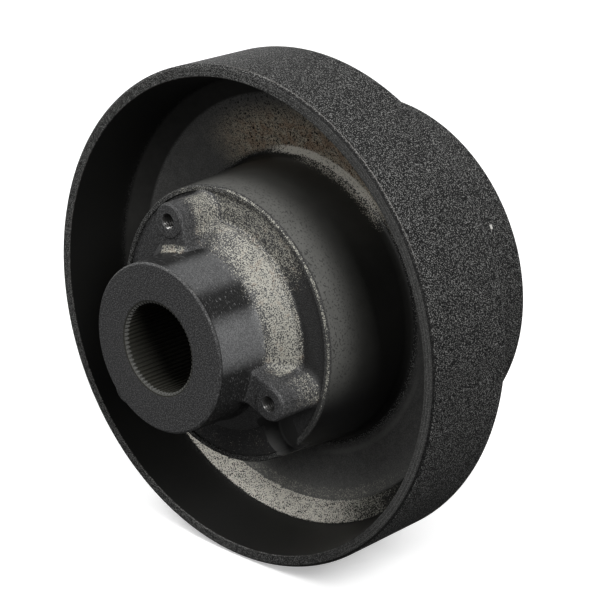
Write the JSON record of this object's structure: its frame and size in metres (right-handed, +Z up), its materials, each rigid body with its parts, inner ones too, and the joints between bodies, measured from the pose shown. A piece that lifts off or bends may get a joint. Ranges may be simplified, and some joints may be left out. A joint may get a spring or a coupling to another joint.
{
  "type": "jaw coupling",
  "caption": "Rubber-block jaw coupling: a drum-shaped cast housing with a fine-splined nose and puller lugs drives a keyed hub through jaws in its rear skirt.",
  "frame": {"origin": "centre of the splined bore at the nose's front face", "axes": "+Y along the shaft axis, from the nose towards the driven hub; +Z up as the part stands in the view"},
  "size_m": [0.25, 0.178, 0.25],
  "materials": {
    "black_cast_paint": "coarse sand-cast, black paint",
    "black_hub_paint": "satin dark grey paint, worn to bare metal at the foot",
    "black_oxide_steel": "black oxide",
    "zinc_steel": "zinc plated",
    "zinc_steel_plate": "turned, zinc plated",
    "ground_steel": "ground",
    "machined_steel": "machined",
    "bronze": "turned bronze",
    "block_rubber": "moulded black rubber"
  },
  "bodies": {
    "drum_half": {"drum_casting": "black_cast_paint", "splined_hub": "black_hub_paint", "hub_flange_screws": "black_oxide_steel", "hub_screw_washers": "zinc_steel", "hub_dowel_pins": "ground_steel", "drive_jaw_ring": "machined_steel", "jaw_ring_screws": "black_oxide_steel", "jaw_ring_washers": "zinc_steel", "retaining_ring": "zinc_steel_plate", "retaining_screws": "black_oxide_steel", "retaining_washers": "zinc_steel", "pilot_bush": "bronze", "thrust_washer": "bronze", "bore_end_plug": "zinc_steel_plate", "cushion_1": "block_rubber", "cushion_2": "block_rubber", "cushion_3": "block_rubber", "cushion_4": "block_rubber", "cushion_5": "block_rubber", "cushion_6": "block_rubber", "cushion_7": "block_rubber", "cushion_8": "block_rubber"},
    "driven_hub": {"driven_hub": "machined_steel", "set_screws": "black_oxide_steel"}
  },
  "joints": [
    {"name": "wind_up", "type": "hinge", "parent": "drum_half", "child": "driven_hub", "pos_m": [0, 0.137, 0], "axis": [0, 1, 0], "range_deg": [-4, 4], "stiffness_Nm_per_rad": 1000, "deforming": ["cushion_1", "cushion_2", "cushion_3", "cushion_4", "cushion_5", "cushion_6", "cushion_7", "cushion_8"]}
  ]
}
